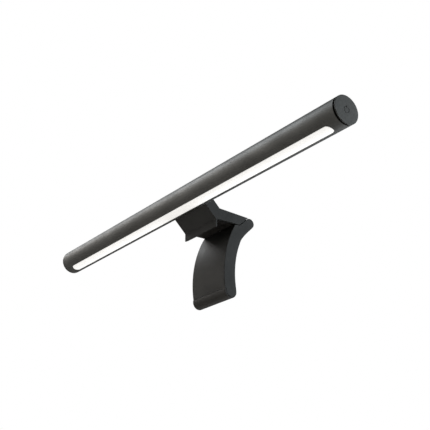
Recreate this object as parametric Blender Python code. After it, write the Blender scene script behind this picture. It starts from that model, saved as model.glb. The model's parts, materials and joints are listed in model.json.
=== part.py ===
"""Monitor light bar: a round lamp tube held by magnets in a clamp that hangs on a monitor's top edge.

Units are metres. +X runs along the bar, +Y goes from the front of the monitor to its back, +Z is up.
The origin is the middle of the clamp pad's lower face, which lies on the monitor's top edge.
"""

import math

import bmesh
import bpy
from mathutils import Matrix, Vector

MM = 0.001
GAP = 0.3 * MM

# Lamp tube
TUBE_AXIS = Vector((0.0, -35.0 * MM, 21.5 * MM))
TUBE_RADIUS = 12.66 * MM
TUBE_WALL = 1.2 * MM
TUBE_LEFT = -221.3 * MM
TUBE_RIGHT = 221.75 * MM
BAR_HALF_LENGTH = 224.2 * MM
CAP_THICKNESS = 2.6 * MM
BUTTON_RIM = 0.7 * MM
ROUND_SEGMENTS = 64

# Light window, measured around the tube from straight down towards the front
WINDOW_ANGLE = math.radians(16.1)
WINDOW_HALF_WIDTH = 4.63 * MM
WINDOW_HALF_LENGTH = 211.0 * MM
LED_COUNT = 34
LED_PITCH = 12.2 * MM

# Power inlet in the back of the tube
INLET_X = 38.0 * MM
INLET_HEIGHT = 4.4 * MM
INLET_SIZE = (8.9 * MM, 3.2 * MM)

# Clamp
CLAMP_HALF_WIDTH = 25.75 * MM
CHEEK_INNER = 23.0 * MM
SEAT_RADIUS = TUBE_RADIUS + GAP
SADDLE_RADIUS = 16.2 * MM
SADDLE_POCKET_RADIUS = SADDLE_RADIUS + GAP
SLAB_ANGLE = math.radians(45.0)
SLAB_LOWER = 0.64 * MM
SLAB_UPPER = 12.02 * MM
SLAB_WALL = 1.9 * MM
SADDLE_LOW = math.radians(-20.0)
SADDLE_PIN_RADIUS = 14.5 * MM
SADDLE_PIN_ANGLE = math.radians(-13.0)
SADDLE_PIN = 0.8 * MM
MAGNET_ANGLE = math.radians(-7.0)
MAGNET_PITCH = 13.2 * MM
TILT_HALF_RANGE = math.radians(12.5)
PLATE_FRONT_TOP = (-8.75 * MM, 12.2 * MM)
PLATE_REAR_TOP = (25.8 * MM, 10.12 * MM)
PLATE_REAR_BOTTOM = (15.4 * MM, 0.8 * MM)
LIP_FRONT = -13.2 * MM
LIP_BACK = -12.0 * MM
LIP_BOTTOM = -7.3 * MM
COVER_TOP = 2.4 * MM
COVER_FRONT = -10.5 * MM
COVER_REAR = 12.8 * MM
COVER_SCREW_Y = 10.9 * MM

# Counterweight arm
HINGE_AXIS = Vector((0.0, 27.95 * MM, 4.9 * MM))
KNUCKLE_RADIUS = 5.0 * MM
KNUCKLE_GAP = 0.35 * MM
BARREL_HALF_WIDTH = 15.4 * MM
PIN_RADIUS = 1.5 * MM
ARM_ARC_CENTRE = (95.9 * MM, -51.0 * MM)
ARM_FRONT_RADIUS = 100.0 * MM
ARM_BACK_RADIUS = 87.0 * MM
ARM_TIP_CENTRE = (3.4 * MM, -67.9 * MM)
ARM_TIP_RADIUS = 6.8 * MM
ARM_WALL = 2.0 * MM
ARM_COVER_THICKNESS = 1.6 * MM
ARM_CAVITY = (math.radians(-6.5), math.radians(26.0))
FOOT_THICKNESS = 1.5 * MM
FOOT_TOP_ANGLE = math.radians(-196.0)
FOOT_REAR_ANGLE = math.radians(-92.0)


# ---------------------------------------------------------------- helpers


def clear_scene():
    for item in list(bpy.data.objects):
        bpy.data.objects.remove(item, do_unlink=True)


def material(name, colour, roughness, metallic=0.0):
    found = bpy.data.materials.get(name)
    if found:
        return found
    made = bpy.data.materials.new(name)
    made.use_nodes = True
    shader = made.node_tree.nodes["Principled BSDF"]
    shader.inputs["Base Color"].default_value = (*colour, 1.0)
    shader.inputs["Roughness"].default_value = roughness
    shader.inputs["Metallic"].default_value = metallic
    made.diffuse_color = (*colour, 1.0)
    return made


def empty(name, location, turn_about_x=0.0):
    made = bpy.data.objects.new(name, None)
    made.location = location
    made.rotation_euler = (turn_about_x, 0.0, 0.0)
    bpy.context.scene.collection.objects.link(made)
    return made


def add_object(name, mesh, looks=None, parent=None):
    made = bpy.data.objects.new(name, mesh)
    bpy.context.scene.collection.objects.link(made)
    made.parent = parent
    if looks:
        mesh.materials.append(looks)
    return made


def mesh_from(name, bm, smooth_below=35.0):
    bmesh.ops.remove_doubles(bm, verts=bm.verts, dist=1e-7)
    bmesh.ops.recalc_face_normals(bm, faces=bm.faces)
    mesh = bpy.data.meshes.new(name)
    bm.to_mesh(mesh)
    bm.free()
    mesh.shade_smooth()
    mesh.set_sharp_from_angle(angle=math.radians(smooth_below))
    return mesh


def add_prism(bm, outline, x_from, x_to):
    """A closed outline of (y, z) points carried from x_from to x_to."""
    ring = [bm.verts.new((x_from, y, z)) for y, z in outline]
    face = bm.faces.new(ring)
    moved = bmesh.ops.extrude_face_region(bm, geom=[face])["geom"]
    top = [v for v in moved if isinstance(v, bmesh.types.BMVert)]
    bmesh.ops.translate(bm, verts=top, vec=(x_to - x_from, 0.0, 0.0))


def add_box(bm, low, high):
    size = [b - a for a, b in zip(low, high)]
    middle = [(a + b) / 2 for a, b in zip(low, high)]
    place = Matrix.Translation(middle) @ Matrix.Diagonal((*size, 1.0))
    bmesh.ops.create_cube(bm, size=1.0, matrix=place)


def add_turned(bm, profile, segments=ROUND_SEGMENTS, centre=(0.0, 0.0)):
    """A closed profile of (x, radius) points turned about a line along X through centre (y, z)."""
    rings = []
    for x, radius in profile:
        if radius == 0.0:
            rings.append([bm.verts.new((x, *centre))] * segments)
            continue
        angles = [2.0 * math.pi * step / segments for step in range(segments)]
        rings.append(
            [
                bm.verts.new((x, centre[0] + radius * math.cos(a), centre[1] + radius * math.sin(a)))
                for a in angles
            ]
        )
    for here, there in zip(rings, rings[1:] + rings[:1]):
        for step in range(segments):
            after = (step + 1) % segments
            corners = [here[step], here[after], there[after], there[step]]
            distinct = list(dict.fromkeys(corners))
            if len(distinct) > 2:
                bm.faces.new(distinct)


def prism(name, outline, half_width, looks=None, parent=None):
    bm = bmesh.new()
    add_prism(bm, outline, -half_width, half_width)
    return add_object(name, mesh_from(name, bm), looks, parent)


def boxes(name, corners, looks=None, parent=None):
    """One object of separate boxes, each given by its low and high corners."""
    bm = bmesh.new()
    for low, high in corners:
        add_box(bm, low, high)
    return add_object(name, mesh_from(name, bm), looks, parent)


def turned(name, profile, looks=None, parent=None, segments=ROUND_SEGMENTS, centre=(0.0, 0.0)):
    bm = bmesh.new()
    add_turned(bm, profile, segments, centre)
    return add_object(name, mesh_from(name, bm), looks, parent)


def rods(name, stations, looks=None, parent=None, segments=20):
    """Round rods in one mesh. Each station is (start, direction, [(distance, radius), ...])."""
    bm = bmesh.new()
    for start, direction, steps in stations:
        piece = bmesh.new()
        profile = [(steps[0][0], 0.0), *steps, (steps[-1][0], 0.0)]
        add_turned(piece, profile, segments)
        turn = Vector((1.0, 0.0, 0.0)).rotation_difference(Vector(direction)).to_matrix().to_4x4()
        piece.transform(Matrix.Translation(start) @ turn)
        holder = bpy.data.meshes.new(name + "_piece")
        piece.to_mesh(holder)
        piece.free()
        bm.from_mesh(holder)
        bpy.data.meshes.remove(holder)
    return add_object(name, mesh_from(name, bm), looks, parent)


def numbered_rods(name, stations, looks, parent=None, segments=16):
    """One object for each rod, numbered from 1."""
    for number, station in enumerate(stations, 1):
        rods(f"{name}_{number}", [station], looks, parent, segments)


def wire_along(name, points, radius, looks, parent):
    """A round wire through the points, with closed ends."""
    curve = bpy.data.curves.new(name, "CURVE")
    curve.dimensions = "3D"
    curve.bevel_depth = radius
    curve.bevel_resolution = 1
    curve.use_fill_caps = True
    spline = curve.splines.new("POLY")
    spline.points.add(len(points) - 1)
    for spot, at in zip(spline.points, points):
        spot.co = (*at, 1.0)
    made = bpy.data.objects.new(name, curve)
    bpy.context.scene.collection.objects.link(made)
    made.parent = parent
    curve.materials.append(looks)
    return made


def boolean(target, tool, operation="DIFFERENCE"):
    """Cuts tool out of target, or joins it on, and keeps tool as a hidden helper."""
    tool.parent = target.parent
    tool.hide_render = True
    tool.display_type = "WIRE"
    step = target.modifiers.new(tool.name, "BOOLEAN")
    step.operation = operation
    step.solver = "EXACT"
    step.object = tool


def bevel(target, width, segments=2, above=25.0):
    step = target.modifiers.new("edge", "BEVEL")
    step.width = width
    step.segments = segments
    step.limit_method = "ANGLE"
    step.angle_limit = math.radians(above)
    step.harden_normals = False


def arc(centre, radius, start, end, steps):
    """Points (y, z) on an arc; angles in radians from +Y towards +Z."""
    return [
        (
            centre[0] + radius * math.cos(start + (end - start) * n / steps),
            centre[1] + radius * math.sin(start + (end - start) * n / steps),
        )
        for n in range(steps + 1)
    ]


def bezier(start, handle_1, handle_2, end, steps):
    """Inner points of a cubic curve between start and end."""
    points = []
    for n in range(1, steps):
        t = n / steps
        weights = ((1 - t) ** 3, 3 * t * (1 - t) ** 2, 3 * t * t * (1 - t), t**3)
        points.append(
            tuple(
                sum(w * p[k] for w, p in zip(weights, (start, handle_1, handle_2, end)))
                for k in (0, 1)
            )
        )
    return points


def stadium(length, width, steps=12):
    """A slot outline of (a, b) points with full-round ends along a."""
    radius = width / 2
    reach = length / 2 - radius
    right = arc((reach, 0.0), radius, -math.pi / 2, math.pi / 2, steps)
    left = arc((-reach, 0.0), radius, math.pi / 2, 3 * math.pi / 2, steps)
    return right + left


# ---------------------------------------------------------------- shapes shared by several pieces


def slab_point(along, across):
    """A point (y, z) of the inclined slab: along it from the tube axis, and up across it."""
    return (
        TUBE_AXIS.y + along * math.cos(SLAB_ANGLE) + across * math.sin(SLAB_ANGLE),
        TUBE_AXIS.z - along * math.sin(SLAB_ANGLE) + across * math.cos(SLAB_ANGLE),
    )


def slab_face_angle(across, radius):
    """Where a slab face at that height meets a circle about the tube axis, from straight back."""
    return math.asin(across / radius) - SLAB_ANGLE


def arm_arc(radius, low, high, steps):
    """Points on one of the arm's arcs, from angle low to high above the arc centre's height."""
    return arc(ARM_ARC_CENTRE, radius, math.pi - low, math.pi - high, steps)


def arm_angle(radius, z):
    return math.asin((z - ARM_ARC_CENTRE[1]) / radius)


def tangent_angle(point, centre, radius):
    """Where, about centre, a line from point touches the upper left of a circle (radians from +Y)."""
    across, up = centre[0] - point[0], centre[1] - point[1]
    slope = math.atan2(up, across) + math.asin(radius / math.hypot(across, up))
    return slope + math.pi / 2


def about(axis, points):
    """Points (y, z) seen from a body's own axis."""
    return [(y - axis.y, z - axis.z) for y, z in points]


# ---------------------------------------------------------------- lamp


def build_lamp(lamp, black, white, board_white, steel, plastic):
    """Pieces of the lamp. In the lamp's own frame the window faces straight down."""
    build_tube(lamp, black)
    build_light_engine(lamp, white, board_white, steel)
    build_driver(lamp, board_white, steel, plastic)
    build_left_end(lamp, black)
    build_right_end(lamp, black, board_white, plastic)
    build_wires(lamp, plastic)


def slot_cutter(name, length, width, depth_from, depth_to, x=0.0):
    """A slot with round ends through the bottom of the tube, between two heights."""
    bm = bmesh.new()
    ring = [bm.verts.new((x + a, b, depth_from)) for a, b in stadium(length, width)]
    face = bm.faces.new(ring)
    moved = bmesh.ops.extrude_face_region(bm, geom=[face])["geom"]
    top = [v for v in moved if isinstance(v, bmesh.types.BMVert)]
    bmesh.ops.translate(bm, verts=top, vec=(0.0, 0.0, depth_to - depth_from))
    return add_object(name, mesh_from(name, bm))


def build_tube(lamp, black):
    inner = TUBE_RADIUS - TUBE_WALL
    edge = 0.25 * MM
    profile = [
        (TUBE_LEFT, inner),
        (TUBE_LEFT, TUBE_RADIUS),
        (TUBE_RIGHT - edge, TUBE_RADIUS),
        (TUBE_RIGHT, TUBE_RADIUS - edge),
        (TUBE_RIGHT, inner),
    ]
    housing = turned("tube_housing", profile, black, lamp)
    window = slot_cutter(
        "window_cut", 2 * WINDOW_HALF_LENGTH, 2 * WINDOW_HALF_WIDTH, -14.0 * MM, -6.0 * MM
    )
    boolean(housing, window)
    inlet = slot_cutter("inlet_cut", 10.4 * MM, 4.6 * MM, 7.0 * MM, 14.0 * MM)
    inlet.rotation_euler = (-math.pi / 2, 0.0, 0.0)
    inlet.location = (INLET_X, 0.0, INLET_HEIGHT)
    boolean(housing, inlet)


def build_light_engine(lamp, white, board_white, steel):
    inner = TUBE_RADIUS - TUBE_WALL
    half_angle = math.asin(WINDOW_HALF_WIDTH / TUBE_RADIUS) + math.radians(4.0)
    down = -math.pi / 2
    outline = arc((0.0, 0.0), TUBE_RADIUS, down - half_angle, down + half_angle, 14)
    outline += arc((0.0, 0.0), inner, down + half_angle, down - half_angle, 14)
    diffuser = prism("diffuser", outline, WINDOW_HALF_LENGTH + 2.0 * MM, white, lamp)
    trim = slot_cutter(
        "diffuser_trim",
        2 * (WINDOW_HALF_LENGTH - GAP),
        2 * (WINDOW_HALF_WIDTH - GAP),
        -14.0 * MM,
        -6.0 * MM,
    )
    boolean(diffuser, trim, "INTERSECT")

    aluminium = material("rail_aluminium", (0.62, 0.63, 0.65), 0.4, 1.0)
    rail_right = 212.6 * MM
    rail = boxes(
        "chassis_rail",
        [((-213.0 * MM, -9.6 * MM, -1.0 * MM), (rail_right, 9.6 * MM, 1.0 * MM))],
        aluminium,
        lamp,
    )
    hole = rods("rail_wire_hole", [((5.0 * MM, 0.0, 0.0), (0, 0, 1), [(-3 * MM, 2 * MM), (3 * MM, 2 * MM)])])
    boolean(rail, hole)

    led_board = boxes(
        "led_board",
        [((-208.0 * MM, -4.0 * MM, -2.5 * MM), (208.0 * MM, 4.0 * MM, -1.3 * MM))],
        board_white,
        lamp,
    )
    first = -(LED_COUNT - 1) / 2 * LED_PITCH
    centres = [first + n * LED_PITCH for n in range(LED_COUNT)]
    chip = 1.5 * MM
    chips = boxes(
        "led_chips",
        [((x - chip, -chip, -3.3 * MM), (x + chip, chip, -2.2 * MM)) for x in centres],
    )
    boolean(led_board, chips, "UNION")
    long_side, short_side, wall = 212.5 * MM, 5.2 * MM, 0.6 * MM
    reflector = boxes(
        "reflector",
        [((-long_side, -short_side, -9.6 * MM), (long_side, short_side, -1.3 * MM))],
        white,
        lamp,
    )
    opening = boxes(
        "reflector_cut",
        [
            (
                (wall - long_side, wall - short_side, -11.0 * MM),
                (long_side - wall, short_side - wall, 0.0),
            )
        ],
    )
    boolean(reflector, opening)

    keeper_low, keeper_high = math.radians(-14.0), math.radians(34.0)
    keeper = arc((0.0, 0.0), inner - GAP, keeper_low, keeper_high, 12)
    keeper += arc((0.0, 0.0), inner - GAP - 0.8 * MM, keeper_high, keeper_low, 12)
    prism("magnet_keeper", keeper, CHEEK_INNER, steel, lamp)


def build_driver(lamp, board_white, steel, plastic):
    board = boxes(
        "driver_board",
        [((12.0 * MM, -8.0 * MM, 1.3 * MM), (66.0 * MM, 8.0 * MM, 2.5 * MM))],
        board_white,
        lamp,
    )
    base, sunk = 2.5 * MM, 0.3 * MM
    component_boxes = [
        ((50.0, -3.0), (5.0, 5.0), 1.0),
        ((58.0, 3.0), (4.0, 4.0), 3.2),
        ((58.0, -4.0), (3.2, 1.6), 1.2),
        ((24.0, 3.5), (3.2, 2.5), 1.6),
        ((24.0, -3.5), (6.0, 4.0), 1.6),
        ((50.0, 4.5), (2.0, 1.2), 0.8),
    ]
    corners = []
    for (x, y), (length, width), height in component_boxes:
        low = ((x - length / 2) * MM, (y - width / 2) * MM, base - sunk)
        high = ((x + length / 2) * MM, (y + width / 2) * MM, base + height * MM)
        corners.append((low, high))
    boolean(board, boxes("driver_components", corners), "UNION")

    width, height = INLET_SIZE
    back, mouth = 2.0 * MM, 9.2 * MM
    wall = 0.3 * MM
    shell = slot_cutter("usb_c_shell", width, height, back, mouth)
    shell.rotation_euler = (-math.pi / 2, 0.0, 0.0)
    shell.location = (INLET_X, 0.0, INLET_HEIGHT)
    shell.parent = lamp
    shell.data.materials.append(steel)
    hollow = slot_cutter("usb_c_hollow", width - 2 * wall, height - 2 * wall, back + wall, mouth + MM)
    hollow.rotation_euler = shell.rotation_euler
    hollow.location = shell.location
    boolean(shell, hollow)
    boxes(
        "usb_c_tongue",
        [
            (
                (INLET_X - 3.3 * MM, back + 2 * wall, INLET_HEIGHT - 0.35 * MM),
                (INLET_X + 3.3 * MM, mouth - 0.8 * MM, INLET_HEIGHT + 0.35 * MM),
            )
        ],
        plastic,
        lamp,
    )


def build_left_end(lamp, black):
    outer, plug, edge = -BAR_HALF_LENGTH, TUBE_RADIUS - TUBE_WALL - GAP, 0.5 * MM
    shoulder = outer + CAP_THICKNESS
    profile = [
        (outer, 0.0),
        (outer, TUBE_RADIUS - edge),
        (outer + 0.15 * MM, TUBE_RADIUS - 0.15 * MM),
        (outer + edge, TUBE_RADIUS),
        (shoulder, TUBE_RADIUS),
        (shoulder, plug),
        (shoulder + 5.0 * MM, plug),
        (shoulder + 5.0 * MM, plug - 1.4 * MM),
        (shoulder, plug - 1.4 * MM),
        (shoulder, 0.0),
    ]
    turned("left_end_cap", profile, black, lamp)


def power_symbol_cutters(face_x):
    """A broken ring and a short bar, sunk into the button's face."""
    depth, ring, stroke = 0.25 * MM, 2.6 * MM, 0.55 * MM
    upright = math.pi / 2 + WINDOW_ANGLE
    opening = math.radians(32.0)
    outline = arc((0.0, 0.0), ring + stroke / 2, upright + opening, upright + 2 * math.pi - opening, 24)
    outline += arc((0.0, 0.0), ring - stroke / 2, upright + 2 * math.pi - opening, upright + opening, 24)
    bm = bmesh.new()
    add_prism(bm, outline, face_x - depth, face_x + 1.0 * MM)
    broken_ring = add_object("symbol_ring", mesh_from("symbol_ring", bm))
    bar = boxes(
        "symbol_bar",
        [((face_x - depth, -stroke / 2, 0.9 * MM), (face_x + 1.0 * MM, stroke / 2, ring + 1.1 * MM))],
    )
    bar.rotation_euler = (WINDOW_ANGLE, 0.0, 0.0)
    return broken_ring, bar


def build_right_end(lamp, black, board_white, plastic):
    inner = TUBE_RADIUS - TUBE_WALL
    guide_out, guide_in = inner - GAP, 9.8 * MM
    guide_from, guide_to = 215.2 * MM, TUBE_RIGHT
    profile = [
        (guide_from, guide_in),
        (guide_from, guide_out),
        (guide_to, guide_out),
        (guide_to, guide_in),
    ]
    turned("button_guide", profile, black, lamp)

    face, edge, skirt = BAR_HALF_LENGTH, 0.2 * MM, guide_in - GAP
    back, rim_back = face - 1.6 * MM, face - BUTTON_RIM
    stem_end, skirt_end = face - 6.2 * MM, face - 5.2 * MM
    profile = [
        (face, 0.0),
        (stem_end, 0.0),
        (stem_end, 1.8 * MM),
        (back, 1.8 * MM),
        (back, skirt - 1.2 * MM),
        (skirt_end, skirt - 1.2 * MM),
        (skirt_end, skirt),
        (rim_back, skirt),
        (rim_back, TUBE_RADIUS),
        (face - edge, TUBE_RADIUS),
        (face, TUBE_RADIUS - edge),
    ]
    button = turned("power_button", profile, black, lamp)
    for cutter in power_symbol_cutters(face):
        boolean(button, cutter)

    turned(
        "switch_board",
        [(213.1 * MM, 0.0), (213.1 * MM, 10.6 * MM), (214.1 * MM, 10.6 * MM), (214.1 * MM, 0.0)],
        board_white,
        lamp,
        segments=40,
    )
    half = 3.0 * MM
    boxes("tact_switch", [((214.4 * MM, -half, -half), (216.6 * MM, half, half))], plastic, lamp)


def build_wires(lamp, plastic):
    wire = 0.5 * MM
    spacing = 1.0 * MM
    start, end, bends = 66.4 * MM, 212.6 * MM, 10
    for number, side in enumerate((-spacing, spacing), 1):
        down_to_leds = [
            (11.6 * MM, side, 2.4 * MM),
            (8.0 * MM, side, 3.2 * MM),
            (5.6 * MM, side, 2.6 * MM),
            (5.0 * MM, side, 1.0 * MM),
            (5.0 * MM, side, -0.7 * MM),
        ]
        wire_along(f"led_wire_{number}", down_to_leds, wire, plastic, lamp)
        to_button = [(start, side, 2.4 * MM)]
        for n in range(1, bends):
            x = start + (end - start) * n / bends
            to_button.append((x, side + 1.2 * MM * math.sin(n * 1.3), 1.9 * MM))
        to_button.append((end, side, 2.4 * MM))
        wire_along(f"button_wire_{number}", to_button, wire, plastic, lamp)


# ---------------------------------------------------------------- saddle


def magnet_block(name, x, turn, grow, depth_out, looks=None, parent=None):
    """A block that lies along X, turned about the tube axis so that its +Y side faces away from it."""
    half_length, half_height, near = 5.5 * MM + grow, 2.0 * MM + grow, 14.0 * MM - grow
    block = boxes(
        name,
        [((x - half_length, near, -half_height), (x + half_length, depth_out, half_height))],
        looks,
        parent,
    )
    block.rotation_euler = (turn, 0.0, 0.0)
    return block


def build_saddle(saddle_axis, black, steel):
    """The curved carriage that carries the magnets and turns with the tube. Its frame is the tube axis."""
    half_width = CHEEK_INNER - GAP
    tip = slab_face_angle(SLAB_UPPER, SEAT_RADIUS)
    shoulder = slab_face_angle(SLAB_UPPER, SADDLE_RADIUS)
    outline = arc((0.0, 0.0), SEAT_RADIUS, SADDLE_LOW, tip, 14)
    outline += arc((0.0, 0.0), SADDLE_RADIUS, shoulder, SADDLE_LOW, 8)
    saddle = prism("saddle", outline, half_width, black, saddle_axis)
    for number, x in enumerate((-MAGNET_PITCH, 0.0, MAGNET_PITCH), 1):
        magnet_block(f"saddle_magnet_{number}", x, MAGNET_ANGLE, 0.0, 15.7 * MM, steel, saddle_axis)
        pocket = magnet_block(f"magnet_pocket_{number}", x, MAGNET_ANGLE, GAP, SADDLE_RADIUS + 2.0 * MM)
        boolean(saddle, pocket)
    pin_centre = (
        SADDLE_PIN_RADIUS * math.cos(SADDLE_PIN_ANGLE),
        SADDLE_PIN_RADIUS * math.sin(SADDLE_PIN_ANGLE),
    )
    hole = SADDLE_PIN + GAP
    holes = [
        ((side * 20.0 * MM, *pin_centre), (side, 0, 0), [(0.0, hole), (5.0 * MM, hole)])
        for side in (-1, 1)
    ]
    boolean(saddle, rods("saddle_pin_holes", holes))
    for side, word in ((-1, "left"), (1, "right")):
        ends = [(0.0, SADDLE_PIN), (3.9 * MM, SADDLE_PIN)]
        station = ((side * 20.3 * MM, *pin_centre), (side, 0, 0), ends)
        rods(f"saddle_pin_{word}", [station], steel, saddle_axis)


# ---------------------------------------------------------------- clamp


def clamp_outline():
    centre = (TUBE_AXIS.y, TUBE_AXIS.z)
    low = slab_face_angle(SLAB_LOWER, SEAT_RADIUS)
    high = slab_face_angle(SLAB_UPPER, SEAT_RADIUS)
    outline = arc(centre, SEAT_RADIUS, low, high, 18)
    outline += [PLATE_FRONT_TOP, PLATE_REAR_TOP, (PLATE_REAR_TOP[0], HINGE_AXIS.z), PLATE_REAR_BOTTOM]
    outline += [(LIP_BACK, PLATE_REAR_BOTTOM[1]), (LIP_BACK, LIP_BOTTOM), (LIP_FRONT, LIP_BOTTOM)]
    lower_sum = TUBE_AXIS.y + TUBE_AXIS.z + SLAB_LOWER / math.sin(SLAB_ANGLE)
    outline.append((LIP_FRONT, lower_sum - LIP_FRONT))
    return outline


def plate_rear_cutter():
    """Trims the plate's rear end to a slanted face that turns into an arc around the knuckle."""
    hinge = (HINGE_AXIS.y, HINGE_AXIS.z)
    radius = KNUCKLE_RADIUS + KNUCKLE_GAP
    foot = PLATE_REAR_BOTTOM
    touch = tangent_angle(foot, hinge, radius)
    slope = touch - math.pi / 2
    below = (foot[0] - 2.0 * MM * math.cos(slope), foot[1] - 2.0 * MM * math.sin(slope))
    outline = [below] + arc(hinge, radius, touch, 0.0, 20) + [(hinge[0] + radius, below[1])]
    return prism("plate_rear_cut", outline, CLAMP_HALF_WIDTH + MM)


def clamp_cavity():
    wall = SLAB_WALL
    lower, upper = SLAB_LOWER + wall, SLAB_UPPER - wall
    lower_sum = TUBE_AXIS.y + TUBE_AXIS.z + lower / math.sin(SLAB_ANGLE)
    upper_sum = TUBE_AXIS.y + TUBE_AXIS.z + upper / math.sin(SLAB_ANGLE)
    roof = PLATE_FRONT_TOP[1] - wall
    floor = PLATE_REAR_BOTTOM[1] - 1.0 * MM
    front = COVER_FRONT - GAP
    rear = COVER_REAR + GAP
    return [
        slab_point(19.0 * MM, lower),
        slab_point(16.0 * MM, upper),
        (upper_sum - roof, roof),
        (19.5 * MM, PLATE_REAR_TOP[1] - wall),
        (rear, COVER_TOP + GAP),
        (rear, floor),
        (front, floor),
        (front, lower_sum - front),
    ]


def build_clamp(black, dark, rubber, steel):
    housing = prism("clamp_housing", clamp_outline(), CLAMP_HALF_WIDTH, black)
    bevel(housing, 0.3 * MM)
    boolean(housing, plate_rear_cutter())
    barrel_outline = arc(
        (HINGE_AXIS.y, HINGE_AXIS.z), KNUCKLE_RADIUS, math.radians(-188), math.radians(90), 22
    )
    barrel_outline += [(PLATE_REAR_TOP[0] - 2.0 * MM, 10.1 * MM), (19.6 * MM, 5.6 * MM)]
    boolean(housing, prism("barrel_join", barrel_outline, BARREL_HALF_WIDTH), "UNION")
    boolean(housing, prism("clamp_hollow", clamp_cavity(), CHEEK_INNER + 0.9 * MM))

    centre = (TUBE_AXIS.y, TUBE_AXIS.z)
    boolean(housing, saddle_pocket_cutter(centre))
    boolean(housing, pin_groove_cutter(centre))

    bore = [
        (-BARREL_HALF_WIDTH - MM, 0.0),
        (-BARREL_HALF_WIDTH - MM, 3.3 * MM),
        (-3.0 * MM, 3.3 * MM),
        (-3.0 * MM, PIN_RADIUS + GAP),
        (3.0 * MM, PIN_RADIUS + GAP),
        (3.0 * MM, 3.3 * MM),
        (BARREL_HALF_WIDTH + MM, 3.3 * MM),
        (BARREL_HALF_WIDTH + MM, 0.0),
    ]
    boolean(housing, turned("barrel_bore", bore, segments=32, centre=(HINGE_AXIS.y, HINGE_AXIS.z)))
    build_clamp_core(steel)
    build_clamp_cover(dark, rubber, steel)


def saddle_pocket_cutter(centre):
    """The room between the cheeks in which the saddle turns, above the slab's lower wall."""
    floor = SLAB_LOWER + SLAB_WALL
    near, beyond = TUBE_RADIUS - 1.5 * MM, math.radians(60.0)
    outline = arc(centre, SADDLE_POCKET_RADIUS, slab_face_angle(floor, SADDLE_POCKET_RADIUS), beyond, 20)
    outline += arc(centre, near, beyond, slab_face_angle(floor, near), 16)
    return prism("saddle_pocket", outline, CHEEK_INNER)


def pin_groove_cutter(centre):
    """Curved slots in both cheeks in which the saddle's pins run and stop."""
    half = SADDLE_PIN + GAP
    reach = TILT_HALF_RANGE + half / SADDLE_PIN_RADIUS
    start, end = SADDLE_PIN_ANGLE - reach, SADDLE_PIN_ANGLE + reach
    outline = arc(centre, SADDLE_PIN_RADIUS + half, start, end, 10)
    outline += arc(centre, SADDLE_PIN_RADIUS - half, end, start, 10)
    return prism("pin_groove", outline, CHEEK_INNER + 1.5 * MM)


def build_clamp_core(steel):
    """A bent steel plate that stiffens the slab and the top plate."""
    near, thin, thick = 18.4 * MM, 5.6 * MM, 7.1 * MM
    low, high = 4.6 * MM, 6.1 * MM
    base_sum = TUBE_AXIS.y + TUBE_AXIS.z
    thin_sum = base_sum + thin / math.sin(SLAB_ANGLE)
    thick_sum = base_sum + thick / math.sin(SLAB_ANGLE)
    outline = [
        slab_point(near, thin),
        slab_point(near, thick),
        (thick_sum - high, high),
        (14.6 * MM, high),
        (13.6 * MM, low),
        (thin_sum - low, low),
    ]
    prism("bracket_core", outline, CHEEK_INNER + 0.6 * MM, steel)


def build_clamp_cover(dark, rubber, steel):
    bottom = PLATE_REAR_BOTTOM[1]
    half = CHEEK_INNER + 0.6 * MM
    cover = boxes(
        "underside_cover", [((-half, COVER_FRONT, bottom), (half, COVER_REAR, COVER_TOP))], dark
    )
    pad_half, pad_front, pad_rear, pad_top = 22.5 * MM, -9.6 * MM, 8.6 * MM, 1.2 * MM
    recess = boxes(
        "pad_recess",
        [
            (
                (-pad_half - GAP, pad_front - GAP, bottom - MM),
                (pad_half + GAP, pad_rear + GAP, pad_top + GAP),
            )
        ],
    )
    boolean(cover, recess)
    spots = [(x * MM, COVER_SCREW_Y, bottom) for x in (-18.0, 0.0, 18.0)]
    holes = [
        (spot, (0, 0, 1), [(-MM, 1.8 * MM), (1.0 * MM, 1.8 * MM), (1.0 * MM, 1.2 * MM), (3 * MM, 1.2 * MM)])
        for spot in spots
    ]
    boolean(cover, rods("cover_screw_holes", holes, segments=16))
    screws = [
        (
            spot,
            (0, 0, 1),
            [(0.1 * MM, 1.5 * MM), (0.7 * MM, 1.5 * MM), (0.7 * MM, 0.9 * MM), (3.4 * MM, 0.9 * MM)],
        )
        for spot in spots
    ]
    numbered_rods("cover_screw", screws, steel)
    boxes("top_pad", [((-pad_half, pad_front, 0.0), (pad_half, pad_rear, pad_top))], rubber)
    lip_half, lip_gap = 24.5 * MM, LIP_BACK + GAP
    boxes(
        "lip_pad",
        [((-lip_half, lip_gap, LIP_BOTTOM + 0.4 * MM), (lip_half, lip_gap + 0.8 * MM, -0.2 * MM))],
        rubber,
    )


# ---------------------------------------------------------------- arm


def arm_outline():
    hinge = (HINGE_AXIS.y, HINGE_AXIS.z)
    top_front = (10.05 * MM, 0.3 * MM)
    top_rear = (15.7 * MM, 0.4 * MM)
    notch_angle = tangent_angle(top_rear, hinge, KNUCKLE_RADIUS)
    knuckle_end = math.radians(-42.0)
    shoulder_angle = arm_angle(ARM_BACK_RADIUS, -15.0 * MM)
    front_low = arm_angle(ARM_FRONT_RADIUS, ARM_TIP_CENTRE[1] + 2.6 * MM)
    back_low = arm_angle(ARM_BACK_RADIUS, ARM_TIP_CENTRE[1] + 4.0 * MM)
    knuckle = arc(hinge, KNUCKLE_RADIUS, notch_angle, knuckle_end, 22)
    back = arm_arc(ARM_BACK_RADIUS, shoulder_angle, back_low, 12)
    slope = bezier(
        knuckle[-1],
        (28.6 * MM, -1.8 * MM),
        (21.0 * MM, -8.2 * MM),
        back[0],
        7,
    )
    tip = arc(ARM_TIP_CENTRE, ARM_TIP_RADIUS, math.radians(12.0), FOOT_TOP_ANGLE, 22)
    top_angle = arm_angle(ARM_FRONT_RADIUS, top_front[1])
    front = arm_arc(ARM_FRONT_RADIUS, front_low, top_angle, 18)
    return [top_front, top_rear] + knuckle + slope + back + tip + front[:-1]


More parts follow.
